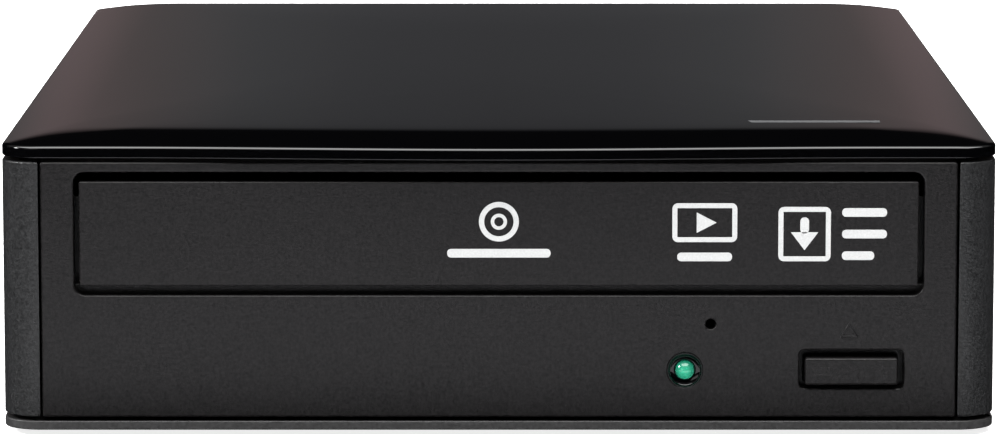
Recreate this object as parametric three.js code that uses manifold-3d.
// External optical drive: a half-height disc drive in a desktop case, with its power and data inlets.
// Millimetres, +Z up. The front faces -Y, X = 0 is the middle of the width, Y = 0 the middle of the
// depth, and Z = 0 is the surface that the rubber feet stand on.
import * as THREE from "three";
import { mergeVertices } from "three/addons/utils/BufferGeometryUtils.js";
import Module from "manifold-3d";

const wasm = await Module();
wasm.setup();

// ---------------------------------------------------------------- driving dimensions
const width = 160; // over the side panels
const depth = 220; // from the foremost point of the lid's bow to the rear panel
const height = 49; // from the floor to the top of the lid's crown
const gap = 0.3; // between pieces that rest on each other
const play = 0.4; // round a shaft or a sliding piece

const half = width / 2;
const lidBow = 2.9; // how far the middle of the lid's front edge stands forward of its ends
const bowHalf = 64; // half the width over which the lid's front edge is bowed
const front = -depth / 2 + lidBow; // the plane of the bezel and the base plate's front edge
const rear = depth / 2;

const feetHeight = 1.0;
const baseTop = 2.48; // top of the base plate
const wallBottom = 3.15; // lower edge of the bezel and the side panels
const wallTop = 44.5; // upper edge of the bezel and the side panels
const lidBottom = 45.1;
const lidCrease = 46.94; // the edge between the lid's side and its crown
const lidWall = 2.3;
const crown = { quickRise: 0.82, quickReach: 12.5, domeReach: 70 }; // it rolls off, then domes gently
const rearShare = 0.12; // how much of the quick roll-off's reach there is at the rear edge
const lidHook = { inner: 75.3, outer: 76.6, barb: 77.1, half: 4, low: 38.6, barbHigh: 39.8 };
const hookPlaces = [-72, 0, 72]; // Y of the lid's hooks, each between two ribs of a side panel
const cornerRadius = 6.2; // plan corners at the front
const rearCornerRadius = 2.2;
const panelThickness = 2.5;
const panelReturn = 74.2; // how far in the side panels' front columns reach
const catchRib = { inner: 77.3, outer: 78, near: 5, far: 6.4, low: 30, high: 43.4 };
const sideBoss = { x: 71, y: 76, radius: 3.2, bore: 1.7, top: 16 };
const rearBoss = { x: 60, y: 102.5, radius: 3.2, bore: 1.7, top: 14 };
const vents = { columns: 12, pitch: 6.4, half: 1.4, low: 29.5, high: 38.5 };
const switchWindow = { half: 5, low: 11.4, high: 15.9 };
const lockSlot = { left: 59, right: 66.2, low: 24, high: 27.2 };
const screwHead = { radius: 2.7, low: 1.1, high: 1.75 };
const shankRadius = 1.3;
const feet = { x: 66, y: 92, radius: 7, recess: 0.55 };
const basePad = 5; // radius of the pads that the drive stands on
const boardPost = 2.6;
const baseTab = { x: 75.6, half: 0.8, front: -95, rear: -89, top: 7 }; // keeps the side panels' fronts in

const bezelHalf = 73.5;
const bezelThickness = 3;
const bezelRim = { depth: 6.1, thickness: 1.4 };
const trayOpening = { x: 68.2, low: 22.94, high: 42.88, radius: 1.8 };
const trayDoor = { x: 67.3, low: 24.5, high: 41.36, thickness: 2.5, relief: 0.9 };
const doorPads = { places: [-40, 0, 40], half: 5, low: 30, high: 33 }; // where the door meets the tray
const buttonHole = { left: 48.28, right: 65.13, low: 7.81, high: 14.04, radius: 0.8 };
const button = { left: 49.21, right: 64.11, low: 8.49, high: 12.85, proud: 1.0 };
const buttonFlange = { over: 1.6, low: 7.2, high: 15.2, thickness: 1.2 };
const buttonStem = { left: 55, right: 58, low: 9.2, high: 12.2, reach: 9.2 };
const lamp = { x: 29.92, z: 10.76, radius: 1.6, proud: 0.9, bodyEnd: 6.4, cone: 2.5, lead: 0.25 };
const pinhole = { x: 34.04, z: 18.26, radius: 0.8 };
const ejectMark = { x: 56.3, z: 17.3, width: 2.8, height: 2.4, proud: 0.12 };

// The drive inside the case.
const driveHalf = 73;
const driveFront = -100.5;
const driveRear = 62.5;
const steel = 0.8;
const driveFloor = { low: 3.6, high: 4.4 };
const driveTop = 44.1;
const connectorWindow = { half: 24, high: 16 };
const driveScrews = { x: 69.85, front: -56.7, rear: 22.55 };

// The loader: the tray and what moves it.
const discCentre = -32; // Y of the disc's axis with the tray in
const discWell = { radius: 61, floor: 29.5, rim: 34.5, under: 27.5 };
const tray = { body: 62.2, flange: 65.6, front: -104.3, rear: 58 };
const trayBack = { inset: 2.4, front: 31, rear: 56.4 }; // the sunken part behind the disc well
const trayWall = { thickness: 2, low: 24.8, high: 39 }; // the upright that carries the door
const traySlot = { half: 19, rear: 58.5 };
const rack = { pitchLine: -52, low: 24.6, front: -98, rear: 56, back: 3 };
const rackModule = 1.25;
const trainModule = 1;
const trayGear = { x: -42, y: -86, rackTeeth: 16, trainTeeth: 28 };
const pinionTeeth = 10;
const pinionX = trayGear.x + (trainModule * (trayGear.trainTeeth + pinionTeeth)) / 2;
const pulley = { grooveRadius: 12.7, low: 14.6, high: 18 };
const pinion = { low: 19.5, high: 22.5 };
const motor = { x: 6, y: -86, radius: 10, low: 4.9, high: 13.6, grooveRadius: 3 };
const motorShaft = 0.8;
const axleRadius = 1.5; // of the posts that the gears turn on
const beltThickness = 1.1;
const toothThinning = 0.2; // taken off each flank of every tooth, for backlash
const loader = { half: 70, wall: 3.5, low: 8, high: 38.2, front: -100.4, rear: 58 };
const deck = { front: -100.1, rear: -69, low: 11.6, high: 13 }; // carries the gears
const camGuide = { front: -70, rear: -67.2, low: 5.2, high: 19.2 }; // the wall that the slider runs along
const trayLedge = { width: 2.4, low: 20 }; // the tray slides on it
const trayKeeper = { places: [-94, -30, 40], inner: 62.9, half: 5, high: 31.4 }; // holds the tray down
const ear = { inner: 50.5, outer: 53.5, front: 46.6, low: 13, high: 22.6 }; // bearing of the traverse
const earBrace = { front: 55.2, low: 9, high: 18 };
const boardNotch = { rear: -88, low: 10, high: 14 };

// The traverse: the tilting unit that carries the spindle and the pickup.
const pivot = { y: 50, z: 19 };
const camPin = { y: -60, z: 18, radius: 1.2 };
const camSlider = { y: -64.6, thickness: 3.2, low: 5.2, high: 21, left: -26, right: 6, travel: 20 };
const slotRunOn = 1.2; // how far the slider's slot runs on past each end of the pin's travel
const traverseTilt = 5; // degrees, from playing to unloaded
const traverse = { half: 48, front: -58, rear: 54, low: 17, high: 20, bar: 8 };
const plate = { half: 41, front: -52, rear: 47.4, low: 22.1, high: 23.1 };
const spindle = { radius: 12, low: 20.6, flange: 23.4, flangeTop: 24.2, high: 27.6, post: 3 };
const platter = { radius: 16.5, low: 29.4, high: 31, skirt: 14, skirtLow: 24.7, hub: 7.4, hubTop: 33.5 };
const rails = { x: 24, z: 24.7, radius: 1.2, front: -20.5, rear: 45.2 };
const sled = { half: 27, front: -17.2, rear: 7.5, low: 22.2, high: 27 };
const lens = { y: -8, radius: 2.6, low: 27.3, high: 29.8 };
const leadScrew = { x: 33, z: 20.4, radius: 1.3, front: -20 };
const sledMotor = { radius: 5.3, front: 30.8, rear: 43.4 };
const clamp = { neck: 10.2, flange: 13.5, low: 36.3, bridgeLow: 38.5, bridgeHigh: 39.5, top: 41.4, span: 18 };

const damper = { pin: 1.2, radius: 3.6, waist: 2.4, height: 4, ear: 4.4 };

// The electronics.
const mainBoard = { half: 60, front: 2, rear: 60.5, low: 5.8, high: 7.2 };
const frontBoard = { left: 22, right: 66, front: -99.8, rear: -78, low: 5.6, high: 6.8 };
const bridge = { left: -44, right: 52, front: 67.5, rear: 105.5, low: 8, high: 9.6 };
const usb = { x: -26, half: 6.4, low: 9.9, high: 21.4, depth: 17 };
const jack = { x: 2, half: 4.6, low: 9.9, high: 21, depth: 13.5, bore: 3.1, pin: 1 };
const powerSwitch = { x: 34, half: 6.5, low: 9.9, high: 17.4, depth: 8, travel: 4, knob: 3.4 };
const link = { half: 18, split: 64.6 }; // where the bridge board plugs into the drive

// Where the repeated pieces stand.
const baseScrews = [
  { name: "base_screw_left_side", x: -sideBoss.x, y: sideBoss.y },
  { name: "base_screw_right_side", x: sideBoss.x, y: sideBoss.y },
  { name: "base_screw_left_rear", x: -rearBoss.x, y: rearBoss.y },
  { name: "base_screw_right_rear", x: rearBoss.x, y: rearBoss.y },
];
const driveMountScrews = [
  { name: "drive_screw_left_front", x: -driveScrews.x, y: driveScrews.front },
  { name: "drive_screw_right_front", x: driveScrews.x, y: driveScrews.front },
  { name: "drive_screw_left_rear", x: -driveScrews.x, y: driveScrews.rear },
  { name: "drive_screw_right_rear", x: driveScrews.x, y: driveScrews.rear },
];
const boardPosts = [
  [bridge.left + 5, bridge.front + 5],
  [bridge.right - 5, bridge.front + 5],
  [bridge.left + 5, bridge.rear - 6],
  [bridge.right - 5, bridge.rear - 6],
];
const dampers = [
  { name: "damper_left_front", x: -43, y: -50 },
  { name: "damper_right_front", x: 43, y: -50 },
  { name: "damper_left_rear", x: -43, y: 42 },
  { name: "damper_right_rear", x: 43, y: 42 },
];

// ---------------------------------------------------------------- solids
function solid(geometry) {
  const bare = geometry.index ? geometry.toNonIndexed() : geometry.clone();
  bare.deleteAttribute("normal");
  bare.deleteAttribute("uv");
  const merged = mergeVertices(bare, 1e-4);
  return new wasm.Manifold(
    new wasm.Mesh({
      numProp: 3,
      vertProperties: merged.attributes.position.array,
      triVerts: new Uint32Array(merged.index.array),
    }),
  );
}

function geometryOf(manifold) {
  const mesh = manifold.getMesh();
  const geometry = new THREE.BufferGeometry();
  const points = new Float32Array(mesh.numVert * 3);
  for (let i = 0; i < mesh.numVert; i++) {
    points.set(mesh.vertProperties.subarray(i * mesh.numProp, i * mesh.numProp + 3), i * 3);
  }
  geometry.setAttribute("position", new THREE.BufferAttribute(points, 3));
  geometry.setIndex(new THREE.BufferAttribute(new Uint32Array(mesh.triVerts), 1));
  geometry.computeVertexNormals();
  return geometry;
}

function box(x0, x1, y0, y1, z0, z1) {
  const geometry = new THREE.BoxGeometry(x1 - x0, y1 - y0, z1 - z0);
  return solid(geometry.translate((x0 + x1) / 2, (y0 + y1) / 2, (z0 + z1) / 2));
}

// A cylinder standing along Z.
function post(x, y, radius, z0, z1, sides = 16) {
  const geometry = new THREE.CylinderGeometry(radius, radius, z1 - z0, sides);
  return solid(geometry.rotateX(Math.PI / 2).translate(x, y, (z0 + z1) / 2));
}

// A cylinder lying along Y.
function barAlongY(x, z, radius, y0, y1, sides = 16) {
  const geometry = new THREE.CylinderGeometry(radius, radius, y1 - y0, sides);
  return solid(geometry.translate(x, (y0 + y1) / 2, z));
}

// A cylinder lying along X.
function barAlongX(y, z, radius, x0, x1, sides = 16) {
  const geometry = new THREE.CylinderGeometry(radius, radius, x1 - x0, sides);
  return solid(geometry.rotateZ(Math.PI / 2).translate((x0 + x1) / 2, y, z));
}

// The points of an outline, without the ones that coincide with their neighbour.
function distinct(points) {
  const count = points.length;
  return points.filter((point, i) => point.distanceTo(points[(i + count - 1) % count]) > 1e-3);
}

function extruded(shape, length, curveSegments) {
  const outline = new THREE.Shape(distinct(shape.getPoints(curveSegments)));
  outline.holes = (shape.holes ?? []).map((hole) => {
    return new THREE.Path(distinct(hole.getPoints(curveSegments)));
  });
  return new THREE.ExtrudeGeometry(outline, { depth: length, bevelEnabled: false });
}

// A plan outline extruded along Z.
function prism(shape, z0, z1, curveSegments = 6) {
  return solid(extruded(shape, z1 - z0, curveSegments).translate(0, 0, z0));
}

// A front outline (X across, Y of the shape up) extruded along Y.
function prismAlongY(shape, y0, y1, curveSegments = 6) {
  return solid(extruded(shape, y1 - y0, curveSegments).rotateX(Math.PI / 2).translate(0, y1, 0));
}

// A profile of [radius, z] points turned about a vertical axis.
function turned(profile, x, y, segments = 24) {
  const points = profile.map(([radius, z]) => new THREE.Vector2(radius, z));
  const geometry = new THREE.LatheGeometry(points, segments).rotateX(Math.PI / 2);
  return solid(geometry.translate(x, y, 0));
}

function roundedRectangle(x0, x1, y0, y1, radius) {
  const shape = new THREE.Shape();
  shape.absarc(x1 - radius, y0 + radius, radius, -Math.PI / 2, 0);
  shape.absarc(x1 - radius, y1 - radius, radius, 0, Math.PI / 2);
  shape.absarc(x0 + radius, y1 - radius, radius, Math.PI / 2, Math.PI);
  shape.absarc(x0 + radius, y0 + radius, radius, Math.PI, 1.5 * Math.PI);
  shape.closePath();
  return shape;
}

function polygon(points) {
  return new THREE.Shape(points.map(([x, y]) => new THREE.Vector2(x, y)));
}

function joined(...pieces) {
  return pieces.reduce((whole, piece) => whole.add(piece));
}

function cut(body, ...tools) {
  return tools.reduce((rest, tool) => rest.subtract(tool), body);
}

// ---------------------------------------------------------------- gears
// Involute: the angle swept between the base circle and a given radius.
function involuteAngle(baseRadius, radius) {
  const reach = Math.sqrt(Math.max((radius / baseRadius) ** 2 - 1, 0));
  return reach - Math.atan(reach);
}

// The outline of a spur gear with a tooth on the +X side, turned by phase.
function gearOutline(teeth, module, phase) {
  const pressure = (20 * Math.PI) / 180;
  const pitch = (teeth * module) / 2;
  const base = pitch * Math.cos(pressure);
  const tip = pitch + module * 0.95;
  const root = pitch - module * 1.25;
  const halfTooth = Math.PI / (2 * teeth) - toothThinning / pitch + involuteAngle(base, pitch);
  const points = [];
  for (let tooth = 0; tooth < teeth; tooth++) {
    const middle = phase + (tooth * 2 * Math.PI) / teeth;
    const flank = [root, pitch, tip].map((radius) => ({
      radius,
      angle: halfTooth - involuteAngle(base, radius),
    }));
    const rising = flank.map(({ radius, angle }) => [radius, middle - angle]);
    const falling = flank.map(({ radius, angle }) => [radius, middle + angle]).reverse();
    points.push(...rising, ...falling);
  }
  return polygon(points.map(([radius, angle]) => [radius * Math.cos(angle), radius * Math.sin(angle)]));
}

function gear(x, y, teeth, module, z0, z1, phase = 0) {
  return prism(gearOutline(teeth, module, phase), z0, z1).translate([x, y, 0]);
}

// The outline of a straight rack whose teeth face +X, in mesh with the tray's drive gear.
function rackOutline() {
  const pitch = Math.PI * rackModule;
  const slope = Math.tan((20 * Math.PI) / 180);
  const halfPitchTooth = pitch / 4 - toothThinning;
  const tipX = rack.pitchLine + rackModule * 0.95;
  const rootX = rack.pitchLine - rackModule * 1.25;
  const halfTip = halfPitchTooth - slope * (tipX - rack.pitchLine);
  const halfRoot = halfPitchTooth + slope * (rack.pitchLine - rootX);
  const backX = rootX - rack.back;
  const points = [[backX, rack.front]];
  points.push([rootX, rack.front]);
  const first = Math.ceil((rack.front + halfRoot - trayGear.y) / pitch - 0.5);
  const last = Math.floor((rack.rear - halfRoot - trayGear.y) / pitch - 0.5);
  for (let k = first; k <= last; k++) {
    const y = trayGear.y + (k + 0.5) * pitch;
    points.push([rootX, y - halfRoot], [tipX, y - halfTip], [tipX, y + halfTip], [rootX, y + halfRoot]);
  }
  points.push([rootX, rack.rear], [backX, rack.rear]);
  return polygon(points);
}

// ---------------------------------------------------------------- materials
function plastic(color, roughness) {
  return new THREE.MeshStandardMaterial({ color, roughness, metalness: 0 });
}

function metal(color, roughness) {
  return new THREE.MeshStandardMaterial({ color, roughness, metalness: 1 });
}

const looks = {
  gloss: () => plastic(0x0a0a0b, 0.08),
  textured: () => plastic(0x1f2022, 0.6),
  bezel: () => plastic(0x1c1d1f, 0.55),
  rubber: () => plastic(0x101010, 0.9),
  lamp: () => plastic(0x1f8f5f, 0.2),
  steel: () => metal(0xb4b6b8, 0.35),
  zinc: () => metal(0x9a9c9f, 0.45),
  mechanism: () => plastic(0x2a2b2d, 0.5),
  gear: () => plastic(0xe8e4d8, 0.45),
  board: () => plastic(0x0f5c33, 0.5),
  chip: () => plastic(0x141414, 0.4),
  glass: () => plastic(0x8fb4d8, 0.05),
};

const drive = new THREE.Group();
drive.name = "external_optical_drive";

function addPiece(name, manifold, look) {
  const mesh = new THREE.Mesh(geometryOf(manifold), looks[look]());
  mesh.name = name;
  drive.add(mesh);
}

// ---------------------------------------------------------------- case
// Plan outline shared by the lid and, without its bow, the base plate: inset is how far in it lies.
function planOutline(inset, bow, radius = cornerRadius, rearInset = inset) {
  const x = half - inset;
  const y = front + inset;
  const back = rear - rearInset;
  const rearRadius = Math.max(rearCornerRadius, radius - cornerRadius);
  const arcSteps = 5;
  const bowSteps = bow > 0 ? 20 : 1;
  const points = [];
  const arc = (centreX, centreY, size, from) => {
    for (let i = 0; i <= arcSteps; i++) {
      const angle = from + ((Math.PI / 2) * i) / arcSteps;
      points.push([centreX + size * Math.cos(angle), centreY + size * Math.sin(angle)]);
    }
  };
  const flatHalf = x - radius;
  arc(-flatHalf, y + radius, radius, Math.PI);
  for (let i = 1; i < bowSteps; i++) {
    const across = -flatHalf + (2 * flatHalf * i) / bowSteps;
    const swell = Math.abs(across) < bowHalf ? (1 + Math.cos((Math.PI * across) / bowHalf)) / 2 : 0;
    points.push([across, y - bow * swell]);
  }
  arc(flatHalf, y + radius, radius, -Math.PI / 2);
  arc(x - rearRadius, back - rearRadius, rearRadius, 0);
  arc(-x + rearRadius, back - rearRadius, rearRadius, Math.PI / 2);
  return points;
}

// A solid lofted through rings of equal point count, each at its own height.
function loft(rings) {
  const count = rings[0].points.length;
  const positions = [];
  const indices = [];
  for (const { points, z } of rings) {
    for (const [x, y] of points) {
      positions.push(x, y, z);
    }
  }
  for (let ring = 0; ring + 1 < rings.length; ring++) {
    for (let i = 0; i < count; i++) {
      const here = ring * count + i;
      const next = ring * count + ((i + 1) % count);
      indices.push(here, next, next + count, here, next + count, here + count);
    }
  }
  const cap = (ring, upward) => {
    const { points, z } = rings[ring];
    const middle = positions.length / 3;
    positions.push(0, (points[0][1] + points[count - 1][1]) / 2, z);
    for (let i = 0; i < count; i++) {
      const here = ring * count + i;
      const next = ring * count + ((i + 1) % count);
      indices.push(middle, upward ? here : next, upward ? next : here);
    }
  };
  cap(0, false);
  cap(rings.length - 1, true);
  const geometry = new THREE.BufferGeometry();
  geometry.setAttribute("position", new THREE.Float32BufferAttribute(positions, 3));
  geometry.setIndex(indices);
  return solid(geometry);
}

// How far the lid's crown stands above its crease, at a distance in from the edge.
function crownRise(inset) {
  const near = Math.min(inset / crown.quickReach, 1);
  const far = Math.min(inset / crown.domeReach, 1);
  const domeRise = height - lidCrease - crown.quickRise;
  return crown.quickRise * (1 - (1 - near) ** 2) + domeRise * (1 - (1 - far) ** 2);
}

// How far in from the rear edge the crown reaches the height it has at an inset from the sides.
function crownRearInset(inset) {
  const quick = Math.min(inset, crown.quickReach);
  return quick * rearShare + (inset - quick);
}

function topCover() {
  const edgeRadius = 0.3;
  const bowFade = 80; // how far in the front edge's bow would die out
  const rings = [
    { inset: 0, z: lidBottom },
    { inset: 0, z: lidCrease - edgeRadius },
  ];
  for (const inset of [edgeRadius, 1.5, 3.5, 6, 9, crown.quickReach, 20, 40, crown.domeReach]) {
    rings.push({ inset, z: lidCrease + crownRise(inset) });
  }
  const outer = loft(
    rings.map(({ inset, z }) => ({
      points: planOutline(
        inset, lidBow * (1 - inset / bowFade), cornerRadius + inset * 0.3, crownRearInset(inset),
      ),
      z,
    })),
  );
  const pocketTop = 46.2;
  const deepInset = 14;
  const pocket = prism(polygon(planOutline(lidWall, lidBow)), lidBottom - 1, pocketTop);
  const deepX = half - deepInset;
  const deepPocket = box(
    -deepX, deepX, front + deepInset, rear - deepInset, lidBottom - 1, pocketTop + 0.7,
  );
  let lid = cut(outer, pocket, deepPocket);
  const { inner, outer: outside, barb, half: reach, low, barbHigh } = lidHook;
  for (const side of [-1, 1]) {
    for (const y of hookPlaces) {
      const hook = box(inner, outside, y - reach, y + reach, low, pocketTop + 0.4);
      const tip = box(outside - 0.3, barb, y - reach, y + reach, low, barbHigh);
      const pair = joined(hook, tip);
      lid = lid.add(side > 0 ? pair : pair.mirror([1, 0, 0]));
    }
  }
  return lid;
}

// Left (side -1) or right (side 1) panel: a wall with a rounded front column and a screw boss.
function sidePanel(side) {
  const rearEdge = rear - panelThickness - gap;
  const outline = new THREE.Shape();
  outline.moveTo(panelReturn, front);
  outline.absarc(half - cornerRadius, front + cornerRadius, cornerRadius, -Math.PI / 2, 0);
  outline.lineTo(half, rearEdge);
  outline.lineTo(half - panelThickness, rearEdge);
  outline.lineTo(half - panelThickness, front + 9);
  outline.lineTo(half - panelThickness - 0.6, front + panelThickness + 1);
  outline.lineTo(panelReturn, front + panelThickness + 1);
  outline.closePath();
  let panel = prism(outline, wallBottom, wallTop);
  const { inner, outer, near, far, low, high } = catchRib;
  for (const y of hookPlaces) {
    panel = panel.add(box(inner, outer, y + near, y + far, low, high));
    panel = panel.add(box(inner, outer, y - far, y - near, low, high));
  }
  const { x, y, radius, bore, top } = sideBoss;
  panel = joined(panel, post(x, y, radius, wallBottom, top), box(x, outer, y - 1, y + 1, wallBottom, top));
  panel = cut(panel, post(x, y, bore, wallBottom - 1, top - 2));
  return side > 0 ? panel : panel.mirror([1, 0, 0]);
}

function rearPanel() {
  const inner = rear - panelThickness;
  const outline = new THREE.Shape();
  outline.moveTo(half - rearCornerRadius, rear);
  outline.lineTo(-half + rearCornerRadius, rear);
  outline.absarc(-half + rearCornerRadius, rear - rearCornerRadius, rearCornerRadius, Math.PI / 2, Math.PI);
  outline.lineTo(-half, inner);
  outline.lineTo(half, inner);
  outline.absarc(half - rearCornerRadius, rear - rearCornerRadius, rearCornerRadius, 0, Math.PI / 2);
  outline.closePath();
  let panel = prism(outline, wallBottom, wallTop);
  const { y, radius, bore, top } = rearBoss;
  for (const x of [-rearBoss.x, rearBoss.x]) {
    const web = box(x - 1.5, x + 1.5, y, inner + 0.5, wallBottom, top);
    panel = joined(panel, post(x, y, radius, wallBottom, top), web);
    panel = cut(panel, post(x, y, bore, wallBottom - 1, top - 2));
  }
  const through = (x0, x1, z0, z1) => box(x0, x1, inner - 1, rear + 1, z0, z1);
  const { x: switchX } = powerSwitch;
  panel = cut(
    panel,
    through(usb.x - usb.half - play, usb.x + usb.half + play, usb.low - play, usb.high + play),
    barAlongY(jack.x, (jack.low + jack.high) / 2, jack.half + 0.2, inner - 1, rear + 1, 24),
    through(switchX - switchWindow.half, switchX + switchWindow.half, switchWindow.low, switchWindow.high),
    through(lockSlot.left, lockSlot.right, lockSlot.low, lockSlot.high),
  );
  for (let i = 0; i < vents.columns; i++) {
    const x = (i - (vents.columns - 1) / 2) * vents.pitch;
    panel = cut(panel, through(x - vents.half, x + vents.half, vents.low, vents.high));
  }
  return panel;
}

function basePlate() {
  let base = prism(polygon(planOutline(0, 0)), feetHeight, baseTop);
  for (const { x, y } of driveMountScrews) {
    base = base.add(post(x, y, basePad, feetHeight, driveFloor.low - gap, 12));
  }
  for (const [x, y] of boardPosts) {
    base = base.add(post(x, y, boardPost, feetHeight, bridge.low - gap, 8));
  }
  for (const side of [-1, 1]) {
    const tabX = side * baseTab.x;
    const { half: reach, front: y0, rear: y1, top } = baseTab;
    base = base.add(box(tabX - reach, tabX + reach, y0, y1, baseTop - 0.5, top));
    for (const end of [-1, 1]) {
      const recess = post(side * feet.x, end * feet.y, feet.radius + gap, 0, feetHeight + feet.recess);
      base = base.subtract(recess);
    }
  }
  for (const { x, y } of [...baseScrews, ...driveMountScrews]) {
    base = cut(
      base,
      post(x, y, screwHead.radius + gap, 0, screwHead.high + gap, 12),
      post(x, y, shankRadius + play, 0, 10, 8),
    );
  }
  return base;
}

function screw({ x, y }, tip) {
  const head = post(x, y, screwHead.radius, screwHead.low, screwHead.high, 12);
  const shank = post(x, y, shankRadius, screwHead.low + 0.4, tip, 8);
  const slot = (turn) => {
    const blade = new THREE.BoxGeometry(3, 0.6, 0.5).rotateZ(turn);
    return solid(blade.translate(x, y, screwHead.low));
  };
  return cut(joined(head, shank), slot(0), slot(Math.PI / 2));
}

function rubberFoot(x, y) {
  const top = feetHeight + feet.recess - gap;
  const profile = [
    [0, 0],
    [feet.radius - 0.8, 0],
    [feet.radius, 0.5],
    [feet.radius, top],
    [0, top],
  ];
  return turned(profile, x, y, 16);
}

function makeCase() {
  addPiece("top_cover", topCover(), "gloss");
  addPiece("left_side_panel", sidePanel(-1), "textured");
  addPiece("right_side_panel", sidePanel(1), "textured");
  addPiece("rear_panel", rearPanel(), "textured");
  addPiece("base_plate", basePlate(), "textured");
  for (const place of baseScrews) {
    addPiece(place.name, screw(place, 10), "zinc");
  }
  for (const place of driveMountScrews) {
    addPiece(place.name, screw(place, 7), "zinc");
  }
  for (const [side, x] of [["left", -feet.x], ["right", feet.x]]) {
    addPiece(`rubber_foot_${side}_front`, rubberFoot(x, -feet.y), "rubber");
    addPiece(`rubber_foot_${side}_rear`, rubberFoot(x, feet.y), "rubber");
  }
}

// ---------------------------------------------------------------- front of the drive
function driveBezel() {
  const back = front + bezelThickness;
  const rimBack = front + bezelRim.depth;
  const rim = bezelRim.thickness;
  const outline = roundedRectangle(-bezelHalf, bezelHalf, wallBottom, wallTop, 0.4);
  const opening = roundedRectangle(
    -trayOpening.x, trayOpening.x, trayOpening.low, trayOpening.high, trayOpening.radius,
  );
  const hole = roundedRectangle(
    buttonHole.left, buttonHole.right, buttonHole.low, buttonHole.high, buttonHole.radius,
  );
  const lampCone = new THREE.CylinderGeometry(lamp.cone, lamp.radius + gap, 1, 20);
  const triangle = polygon([
    [ejectMark.x - ejectMark.width / 2, ejectMark.z - ejectMark.height / 2],
    [ejectMark.x + ejectMark.width / 2, ejectMark.z - ejectMark.height / 2],
    [ejectMark.x, ejectMark.z + ejectMark.height / 2],
  ]);
  const blank = prismAlongY(outline, front, rimBack);
  const hollow = box(
    -bezelHalf + rim, bezelHalf - rim, back, rimBack + 1, wallBottom + rim, wallTop - rim,
  );
  const pressed = cut(
    blank,
    hollow,
    prismAlongY(opening, front - 1, rimBack),
    prismAlongY(hole, front - 1, rimBack),
    barAlongY(lamp.x, lamp.z, lamp.radius + gap, front - 1, rimBack, 20),
    solid(lampCone.rotateX(Math.PI).translate(lamp.x, front + 0.4, lamp.z)),
    barAlongY(pinhole.x, pinhole.z, pinhole.radius, front - 1, rimBack, 12),
  );
  return pressed.add(prismAlongY(triangle, front - ejectMark.proud, front + 0.5));
}

function doorPiece() {
  const { x: side, low, high, thickness, relief } = trayDoor;
  const back = front + thickness;
  const door = box(-side, side, front, back, low, high);
  let piece = cut(door, box(-side + 3, side - 3, back - relief, back + 1, low + 2, high - 2));
  for (const x of doorPads.places) {
    const reach = doorPads.half;
    const pad = box(x - reach, x + reach, back - relief - gap, back - 0.1, doorPads.low, doorPads.high);
    piece = piece.add(pad);
  }
  return piece;
}

// The push button: its cap stands proud of the bezel, and a flange behind keeps it in its hole.
function ejectButton() {
  const { left, right, low, high, proud } = button;
  const cap = box(left, right, front - proud, front + bezelThickness + 1, low, high);
  const flangeFront = front + bezelThickness + play;
  const { over, thickness } = buttonFlange;
  const flange = box(
    left - over, right + over, flangeFront, flangeFront + thickness, buttonFlange.low, buttonFlange.high,
  );
  const { left: stemLeft, right: stemRight, reach } = buttonStem;
  const stem = box(
    stemLeft, stemRight, flangeFront + 1, front + reach, buttonStem.low, buttonStem.high,
  );
  return joined(cap, flange, stem);
}

// A round-nosed lamp with its two leads bent down to the front board.
function statusLamp() {
  const { radius, bodyEnd, lead: wire } = lamp;
  const domeY = front - lamp.proud + radius;
  const profile = [];
  const domeSteps = 5;
  for (let i = 0; i <= domeSteps; i++) {
    const angle = (Math.PI / 2) * (i / domeSteps);
    profile.push([radius * Math.sin(angle), -radius * Math.cos(angle)]);
  }
  const flange = radius + gap;
  profile.push([radius, bodyEnd - 1], [flange, bodyEnd - 1], [flange, bodyEnd], [0, bodyEnd]);
  const points = profile.map(([across, along]) => new THREE.Vector2(across, along));
  const bulb = new THREE.LatheGeometry(points, 20).translate(lamp.x, domeY, lamp.z);
  const lampBack = domeY + bodyEnd;
  const leadEnd = lampBack + 1.5;
  let whole = solid(bulb);
  for (const side of [-1, 1]) {
    const x = lamp.x + side * 0.9;
    const lead = box(x - wire, x + wire, lampBack - 0.2, leadEnd, lamp.z - wire, lamp.z + wire);
    const drop = box(x - wire, x + wire, leadEnd - 2 * wire, leadEnd, frontBoard.high + gap, lamp.z + wire);
    whole = joined(whole, lead, drop);
  }
  return whole;
}

function makeFront() {
  addPiece("drive_bezel", driveBezel(), "bezel");
  addPiece("tray_door", doorPiece(), "bezel");
  addPiece("eject_button", ejectButton(), "bezel");
  addPiece("status_lamp", statusLamp(), "lamp");
}

// ---------------------------------------------------------------- drive housing
function driveCover() {
  const outer = box(-driveHalf, driveHalf, driveFront, driveRear, driveFloor.high + gap, driveTop);
  const inner = box(
    -driveHalf + steel, driveHalf - steel, driveFront - 1, driveRear - steel, 0, driveTop - steel,
  );
  const { half: reach, high } = connectorWindow;
  return cut(outer, inner, box(-reach, reach, driveRear - 2, driveRear + 1, 0, high));
}

function driveBottomPlate() {
  let sheet = box(-driveHalf, driveHalf, driveFront, driveRear, driveFloor.low, driveFloor.high);
  for (const { x, y } of driveMountScrews) {
    sheet = cut(sheet, post(x, y, shankRadius + play, 0, 10, 8));
  }
  for (const x of [-52, 52]) {
    for (const y of [8, 54]) {
      sheet = sheet.add(post(x, y, 2.4, driveFloor.low, mainBoard.low - gap, 8));
    }
    sheet = sheet.add(post(x > 0 ? 62 : 27, -84, 2, driveFloor.low, frontBoard.low - gap, 8));
  }
  return sheet;
}

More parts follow.
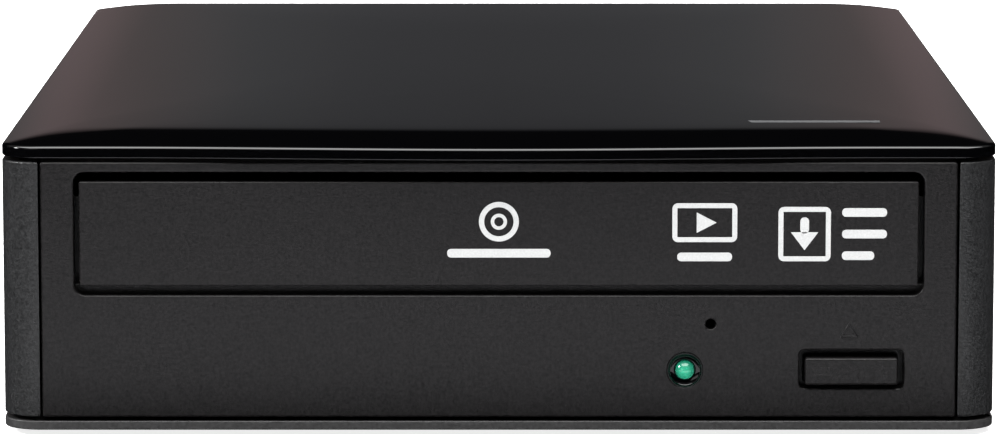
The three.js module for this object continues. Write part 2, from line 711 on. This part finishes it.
// The plastic frame that carries the tray between its walls and the gears on its front deck.
function loaderFrame() {
  const inner = loader.half - loader.wall;
  const spanAt = (side, from, to) => (side > 0 ? [from, to] : [-to, -from]);
  const beside = (side, from, to, y0, y1, z0, z1) => {
    const [x0, x1] = spanAt(side, from, to);
    return box(x0, x1, y0, y1, z0, z1);
  };
  const ledgeTop = discWell.under - gap;
  const { front: y0, rear: y1 } = loader;
  let frame = joined(
    box(-inner - 1, inner + 1, deck.front, deck.rear, deck.low, deck.high),
    box(-inner - 1, inner + 1, camGuide.front, camGuide.rear, camGuide.low, camGuide.high),
  );
  for (const side of [-1, 1]) {
    frame = joined(
      frame,
      beside(side, inner, loader.half, y0, y1, loader.low, loader.high),
      beside(side, inner - trayLedge.width, inner + 0.5, y0 + 0.2, y1 - 0.2, trayLedge.low, ledgeTop),
      beside(side, ear.inner, ear.outer, ear.front, y1, ear.low, ear.high),
      beside(side, ear.inner + 0.4, inner + 1, earBrace.front, y1 - 0.2, earBrace.low, earBrace.high),
    );
    for (const y of trayKeeper.places) {
      const { inner: tip, half: reach, high } = trayKeeper;
      frame = frame.add(beside(side, tip, inner + 0.4, y - reach, y + reach, discWell.floor + gap, high));
    }
    const [bore0, bore1] = spanAt(side, ear.inner - 1, ear.outer + 1);
    frame = cut(frame, barAlongX(pivot.y, pivot.z, camPin.radius + play, bore0, bore1, 12));
  }
  frame = cut(
    frame,
    post(motor.x, motor.y, motor.radius + play, 0, 20),
    box(frontBoard.left - 1, inner, y0 - 1, boardNotch.rear, boardNotch.low, boardNotch.high),
  );
  return joined(
    frame,
    post(trayGear.x, trayGear.y, axleRadius, deck.low + 0.4, discWell.under - 0.5, 10),
    post(pinionX, trayGear.y, axleRadius, deck.low + 0.4, pinion.high + 0.6, 10),
  );
}

function makeHousing() {
  addPiece("drive_cover", driveCover(), "steel");
  addPiece("drive_bottom_plate", driveBottomPlate(), "steel");
  addPiece("loader_frame", loaderFrame(), "mechanism");
}

// ---------------------------------------------------------------- loader
function discTray() {
  const floor = box(-tray.flange, tray.flange, tray.front, tray.rear, discWell.under, discWell.floor);
  const body = box(-tray.body, tray.body, tray.front, tray.rear, discWell.under, discWell.rim);
  const well = post(0, discCentre, discWell.radius, discWell.floor, 40, 48);
  const backHalf = tray.body - trayBack.inset;
  const behindWell = box(-backHalf, backHalf, trayBack.front, trayBack.rear, discWell.floor, 40);
  const slotHead = post(0, discCentre, traySlot.half, 20, 40, 24);
  const slot = box(-traySlot.half, traySlot.half, discCentre, traySlot.rear, 20, 40);
  const { thickness, low, high } = trayWall;
  const doorWall = box(-tray.flange, tray.flange, tray.front, tray.front + thickness, low, high);
  const teeth = prism(rackOutline(), rack.low, discWell.under + 0.5);
  return joined(cut(joined(floor, body), well, behindWell, slotHead, slot), doorWall, teeth);
}

// Two gears on one boss: the lower one is driven by the pinion and the upper one moves the rack.
function trayDriveGear() {
  const { x, y, rackTeeth, trainTeeth } = trayGear;
  const lower = gear(x, y, trainTeeth, trainModule, pinion.low, pinion.high);
  const upper = gear(x, y, rackTeeth, rackModule, pinion.high - 0.2, discWell.under - 0.5);
  return cut(joined(lower, upper), post(x, y, axleRadius + play, 10, 30, 10));
}

// A grooved belt pulley: two flanges either side of the groove.
function pulleyWheel(x, y, grooveRadius, segments) {
  const { low, high } = pulley;
  const rim = grooveRadius + 1.6;
  const profile = [
    [0, low],
    [rim, low],
    [rim, low + 0.6],
    [grooveRadius, low + 1],
    [grooveRadius, high - 1],
    [rim, high - 0.6],
    [rim, high],
    [0, high],
  ];
  return turned(profile, x, y, segments);
}

function beltPulleyGear() {
  const wheel = pulleyWheel(pinionX, trayGear.y, pulley.grooveRadius, 24);
  const halfTooth = Math.PI / pinionTeeth;
  const low = pulley.high - 0.2;
  const teeth = gear(pinionX, trayGear.y, pinionTeeth, trainModule, low, pinion.high, halfTooth);
  return cut(joined(wheel, teeth), post(pinionX, trayGear.y, axleRadius + play, 10, 30, 10));
}

function motorPulley() {
  const wheel = pulleyWheel(motor.x, motor.y, motor.grooveRadius, 16);
  return cut(wheel, post(motor.x, motor.y, motorShaft + gap, 10, pulley.high - 0.6, 8));
}

function loadingMotor() {
  const can = post(motor.x, motor.y, motor.radius, motor.low, motor.high, 20);
  const shaft = post(motor.x, motor.y, motorShaft, motor.high - 1, pulley.high - 1, 8);
  return joined(can, shaft);
}

// The belt's outline round both pulleys, for a given distance outside their grooves.
function beltOutline(outside) {
  const big = pulley.grooveRadius + outside;
  const small = motor.grooveRadius + outside;
  const span = motor.x - pinionX;
  const tangent = Math.acos((big - small) / span);
  const shape = new THREE.Path();
  shape.absarc(pinionX, trayGear.y, big, tangent, 2 * Math.PI - tangent);
  shape.absarc(motor.x, motor.y, small, -tangent, tangent);
  shape.closePath();
  return shape;
}

function driveBelt() {
  const middle = (pulley.low + pulley.high) / 2;
  const outline = new THREE.Shape(beltOutline(gap + beltThickness).getPoints(10));
  outline.holes.push(beltOutline(gap));
  return prism(outline, middle - 0.45, middle + 0.45);
}

// The slider that lifts the traverse: its sloping slot carries the traverse's pin.
function camSliderPiece() {
  const y0 = camSlider.y;
  const y1 = y0 + camSlider.thickness;
  const body = box(camSlider.left, camSlider.right, y0, y1, camSlider.low, camSlider.high);
  const drop = (pivot.y - camPin.y) * Math.sin((traverseTilt * Math.PI) / 180);
  const run = Math.atan2(drop, camSlider.travel);
  const wide = camPin.radius + play;
  const ends = [
    [Math.cos(run) * slotRunOn, camPin.z + Math.sin(run) * slotRunOn],
    [-camSlider.travel - Math.cos(run) * slotRunOn, camPin.z - drop - Math.sin(run) * slotRunOn],
  ];
  const shape = new THREE.Shape();
  shape.absarc(ends[0][0], ends[0][1], wide, run - Math.PI / 2, run + Math.PI / 2);
  shape.absarc(ends[1][0], ends[1][1], wide, run + Math.PI / 2, run + 1.5 * Math.PI);
  shape.closePath();
  return cut(body, prismAlongY(shape, y0 - 1, y1 + 1, 8));
}

function makeLoader() {
  addPiece("disc_tray", discTray(), "mechanism");
  addPiece("tray_drive_gear", trayDriveGear(), "gear");
  addPiece("belt_pulley_gear", beltPulleyGear(), "gear");
  addPiece("motor_pulley", motorPulley(), "gear");
  addPiece("drive_belt", driveBelt(), "rubber");
  addPiece("loading_motor", loadingMotor(), "steel");
  addPiece("cam_slider", camSliderPiece(), "gear");
}

// ---------------------------------------------------------------- traverse
// The tilting frame: a plastic ring hinged at its rear, with the cam pin at its front.
function traverseFrame() {
  const { half: side, front: y0, rear: y1, low, high, bar } = traverse;
  const ring = cut(
    box(-side, side, y0, y1, low, high),
    box(-side + bar, side - bar, y0 + bar - 3, y1 - bar + 2, 0, 40),
  );
  const frontPin = barAlongY(0, camPin.z, camPin.radius, camSlider.y + 0.4, y0 + 1, 16);
  let frame = joined(ring, frontPin);
  for (const end of [-1, 1]) {
    const x0 = end > 0 ? side - 2 : -side - 6;
    frame = frame.add(barAlongX(pivot.y, pivot.z, camPin.radius, x0, x0 + 8, 16));
  }
  for (const { x, y } of dampers) {
    frame = frame.add(post(x, y, damper.pin, low, high + gap + damper.height + gap, 12));
  }
  return frame;
}

// A rubber bush with a waist that the mechanism plate sits in.
function rubberDamper({ x, y }) {
  const low = traverse.high + gap;
  const high = low + damper.height;
  const bore = damper.pin + gap;
  const profile = [
    [bore, low],
    [damper.radius, low],
    [damper.waist, plate.low - gap],
    [damper.waist, plate.high + gap],
    [damper.radius, high],
    [bore, high],
    [bore, low],
  ];
  return turned(profile, x, y, 10);
}

// The steel plate that carries the spindle and the rails, hung on the dampers by its four ears.
function mechanismPlate() {
  let sheet = box(-plate.half, plate.half, plate.front, plate.rear, plate.low, plate.high);
  const reach = damper.ear;
  for (const { x, y } of dampers) {
    sheet = sheet.add(box(x - reach, x + reach, y - reach, y + reach, plate.low, plate.high));
  }
  for (const { x, y } of dampers) {
    sheet = cut(sheet, post(x, y, damper.waist + gap, 0, 40, 10));
  }
  const { x: screwX, z: screwZ, radius: screwRadius } = leadScrew;
  const lug = 2.4; // half the width of the lug that bears the lead screw's front end
  const screwLug = box(screwX - lug, screwX + lug, -21.4, -18.6, screwZ - lug, plate.low + 0.4);
  sheet = cut(
    joined(sheet, screwLug),
    box(-30, 35.4, sled.front - 0.8, plate.rear - 3.8, 0, 40),
    box(screwX - 6.5, screwX + 6.5, sledMotor.front - gap, sledMotor.rear + gap, 0, 40),
    post(0, discCentre, spindle.post + 2.5, 0, 40, 16),
    barAlongY(screwX, screwZ, screwRadius + play, -30, -10, 10),
  );
  for (const x of [-rails.x, rails.x]) {
    const stop = (y0, y1) => box(x - 2, x + 2, y0, y1, plate.high - 0.4, rails.z + rails.radius);
    sheet = joined(sheet, stop(rails.front - 1.7, rails.front - gap), stop(rails.rear + gap, plate.rear));
  }
  return sheet;
}

function spindleMotor() {
  const { radius, low, flange, flangeTop, high, post: postRadius } = spindle;
  const bore = 1.6;
  const profile = [
    [0, low],
    [postRadius + 2, low],
    [postRadius + 2, flange],
    [radius, flange],
    [radius, flangeTop],
    [postRadius, flangeTop],
    [postRadius, high],
    [bore, high],
    [bore, low + 0.8],
    [0, low + 0.8],
  ];
  return turned(profile, 0, discCentre, 20);
}

// The turntable is one with the motor's cup-shaped rotor and its shaft.
function turntable() {
  const { radius, low, high, skirt, skirtLow, hub, hubTop } = platter;
  const shaft = 1.2;
  const profile = [
    [0, spindle.low + 1.2],
    [shaft, spindle.low + 1.2],
    [shaft, spindle.high + gap],
    [skirt - 1.2, spindle.high + gap],
    [skirt - 1.2, skirtLow],
    [skirt, skirtLow],
    [skirt, low],
    [radius, low],
    [radius, high],
    [hub, high],
    [hub, hubTop - 1.2],
    [hub - 2, hubTop],
    [0, hubTop],
  ];
  return turned(profile, 0, discCentre, 20);
}

function pickupSled() {
  const body = box(-sled.half, sled.half, sled.front, sled.rear, sled.low, sled.high);
  const tongue = box(26.5, 34.6, -15, -9, sled.low, 24);
  const laserBlock = box(8, 20, -6, 5, 18.6, sled.low + 0.5);
  const coilWell = box(-5.5, 5.5, -13.4, -2.6, sled.high - 1.2, sled.high + 1);
  return cut(
    joined(body, tongue, laserBlock),
    coilWell,
    ...[-rails.x, rails.x].map((x) => barAlongY(x, rails.z, rails.radius + play, -40, 60, 10)),
  );
}

// The lens in its holder, which floats above the sled on wires.
function objectiveLens() {
  const holder = box(-4.4, 4.4, lens.y - 4.4, lens.y + 4.4, sled.high - 0.8, lens.low + 1.1);
  const rim = post(0, lens.y, lens.radius + 0.7, lens.low + 1, lens.high - 0.8, 16);
  const dome = turned(
    [
      [0, lens.high - 1],
      [lens.radius, lens.high - 1],
      [lens.radius * 0.9, lens.high - 0.5],
      [lens.radius * 0.5, lens.high - 0.1],
      [0, lens.high],
    ],
    0,
    lens.y,
    16,
  );
  return joined(holder, rim, dome);
}

function sledMotorPiece() {
  const can = barAlongY(leadScrew.x, leadScrew.z, sledMotor.radius, sledMotor.front, sledMotor.rear, 16);
  const bore = barAlongY(leadScrew.x, leadScrew.z, leadScrew.radius + play, 0, sledMotor.front + 5, 10);
  return cut(can, bore);
}

function clampBridge() {
  const { span, bridgeLow, bridgeHigh } = clamp;
  const strip = box(
    -loader.half, loader.half, discCentre - span, discCentre + span, bridgeLow, bridgeHigh,
  );
  return cut(strip, post(0, discCentre, clamp.neck + play, 0, 60, 20));
}

// The magnetic puck hangs by its flange in the bridge's hole.
function clampPuck() {
  const profile = [
    [0, clamp.low],
    [clamp.neck - 0.6, clamp.low],
    [clamp.neck, clamp.low + 0.6],
    [clamp.neck, clamp.bridgeHigh + gap],
    [clamp.flange, clamp.bridgeHigh + gap],
    [clamp.flange, clamp.top - 0.6],
    [clamp.flange - 0.8, clamp.top],
    [0, clamp.top],
  ];
  return turned(profile, 0, discCentre, 20);
}

function makeTraverse() {
  addPiece("traverse_frame", traverseFrame(), "mechanism");
  for (const place of dampers) {
    addPiece(place.name, rubberDamper(place), "rubber");
  }
  addPiece("mechanism_plate", mechanismPlate(), "steel");
  addPiece("spindle_motor", spindleMotor(), "steel");
  addPiece("turntable", turntable(), "mechanism");
  for (const [side, x] of [["left", -rails.x], ["right", rails.x]]) {
    const rail = barAlongY(x, rails.z, rails.radius, rails.front, rails.rear, 12);
    addPiece(`guide_rail_${side}`, rail, "steel");
  }
  addPiece("pickup_sled", pickupSled(), "zinc");
  addPiece("objective_lens", objectiveLens(), "glass");
  const { x, z, radius, front: screwFront } = leadScrew;
  addPiece("lead_screw", barAlongY(x, z, radius, screwFront, sledMotor.front + 4.6, 12), "steel");
  addPiece("sled_motor", sledMotorPiece(), "steel");
  addPiece("clamp_bridge", clampBridge(), "steel");
  addPiece("clamp_puck", clampPuck(), "mechanism");
}

// ---------------------------------------------------------------- electronics
function board(x0, x1, y0, y1, low, high, holes = []) {
  const bores = holes.map(([x, y]) => post(x, y, 1.4, low - 1, high + 1, 8));
  return cut(box(x0, x1, y0, y1, low, high), ...bores);
}

function driveConnector() {
  const shell = box(-link.half, link.half, 50, link.split, mainBoard.high + gap, 14);
  return cut(shell, box(-link.half + 1.5, link.half - 1.5, link.split - 6, link.split + 1, 9.2, 12.6));
}

function bridgeConnector() {
  const block = box(-link.half, link.half, link.split + gap, 74, bridge.high + gap, 14);
  return block.add(box(-link.half + 2.2, link.half - 2.2, link.split - 5, link.split + 1, 10.3, 11.8));
}

function usbPort() {
  const outer = rear - 0.4;
  const shell = box(usb.x - usb.half, usb.x + usb.half, outer - usb.depth, outer, usb.low, usb.high);
  const mouth = polygon([
    [usb.x - 4.4, usb.low + 1],
    [usb.x + 4.4, usb.low + 1],
    [usb.x + 4.4, usb.low + 6.2],
    [usb.x + 3.1, usb.low + 7.4],
    [usb.x + 3.1, usb.high - 0.8],
    [usb.x - 3.1, usb.high - 0.8],
    [usb.x - 3.1, usb.low + 7.4],
    [usb.x - 4.4, usb.low + 6.2],
  ]);
  const tongue = box(usb.x - 2.8, usb.x + 2.8, outer - 13, outer - 1.5, usb.low + 2.8, usb.low + 5.8);
  return cut(shell, prismAlongY(mouth, outer - 12, outer + 1)).add(tongue);
}

function dcJack() {
  const z = (jack.low + jack.high) / 2;
  const outer = rear - 0.4;
  const inner = rear - panelThickness - gap;
  const body = box(jack.x - jack.half, jack.x + jack.half, inner - jack.depth, inner, jack.low, jack.high);
  const nose = barAlongY(jack.x, z, jack.half - 0.2, inner - 1, outer, 20);
  const bore = barAlongY(jack.x, z, jack.bore, outer - 11, outer + 1, 16);
  const pin = barAlongY(jack.x, z, jack.pin, outer - 12, outer - 1, 10);
  return cut(joined(body, nose), bore).add(pin);
}

function switchBody() {
  const inner = rear - panelThickness - gap;
  const { x, half: reach, low, high, depth: deep, travel, knob } = powerSwitch;
  const body = box(x - reach, x + reach, inner - deep, inner, low, high);
  const room = (knob + travel) / 2 + gap;
  return cut(body, box(x - room, x + room, inner - 3, inner + 1, 11.9, 15.4));
}

function switchKnob() {
  const inner = rear - panelThickness - gap;
  const { x, travel, knob } = powerSwitch;
  const left = x - (knob + travel) / 2;
  const base = box(left, left + knob, inner - 2.6, inner + 2, 12.3, 15);
  const ridge = (y) => box(left + y, left + y + 0.6, inner + 1.8, rear - gap, 12.3, 15);
  return joined(base, ridge(0), ridge(1.4), ridge(2.8));
}

// The switch behind the eject button, with its round plunger pointing forward.
function ejectSwitch() {
  const x = (button.left + button.right) / 2;
  const body = box(x - 3, x + 3, -94.6, -91, frontBoard.high + gap, 13.6);
  return joined(body, barAlongY(x, 10.7, 1.6, -96.7, -94, 10));
}

function makeElectronics() {
  const { half: side, front: y0, rear: y1, low, high } = mainBoard;
  addPiece("main_board", board(-side, side, y0, y1, low, high), "board");
  addPiece("servo_chip", box(-30, -12, 16, 34, high + gap, high + 1.7), "chip");
  addPiece("drive_connector", driveConnector(), "chip");
  const small = frontBoard;
  const smallBoard = board(small.left, small.right, small.front, small.rear, small.low, small.high);
  addPiece("front_board", smallBoard, "board");
  addPiece("eject_switch", ejectSwitch(), "chip");
  const { left, right, front: nearEdge, rear: farEdge } = bridge;
  const large = board(left, right, nearEdge, farEdge, bridge.low, bridge.high, boardPosts);
  addPiece("bridge_board", large, "board");
  addPiece("bridge_connector", bridgeConnector(), "chip");
  addPiece("bridge_chip", box(-10, 4, 80, 92, bridge.high + gap, bridge.high + 1.7), "chip");
  addPiece("bridge_capacitor", post(26, 84, 4, bridge.high + gap, 20, 16), "chip");
  addPiece("usb_port", usbPort(), "steel");
  addPiece("dc_jack", dcJack(), "chip");
  addPiece("power_switch_body", switchBody(), "chip");
  addPiece("power_switch_knob", switchKnob(), "bezel");
}

makeCase();
makeFront();
makeHousing();
makeLoader();
makeTraverse();
makeElectronics();

export default drive;
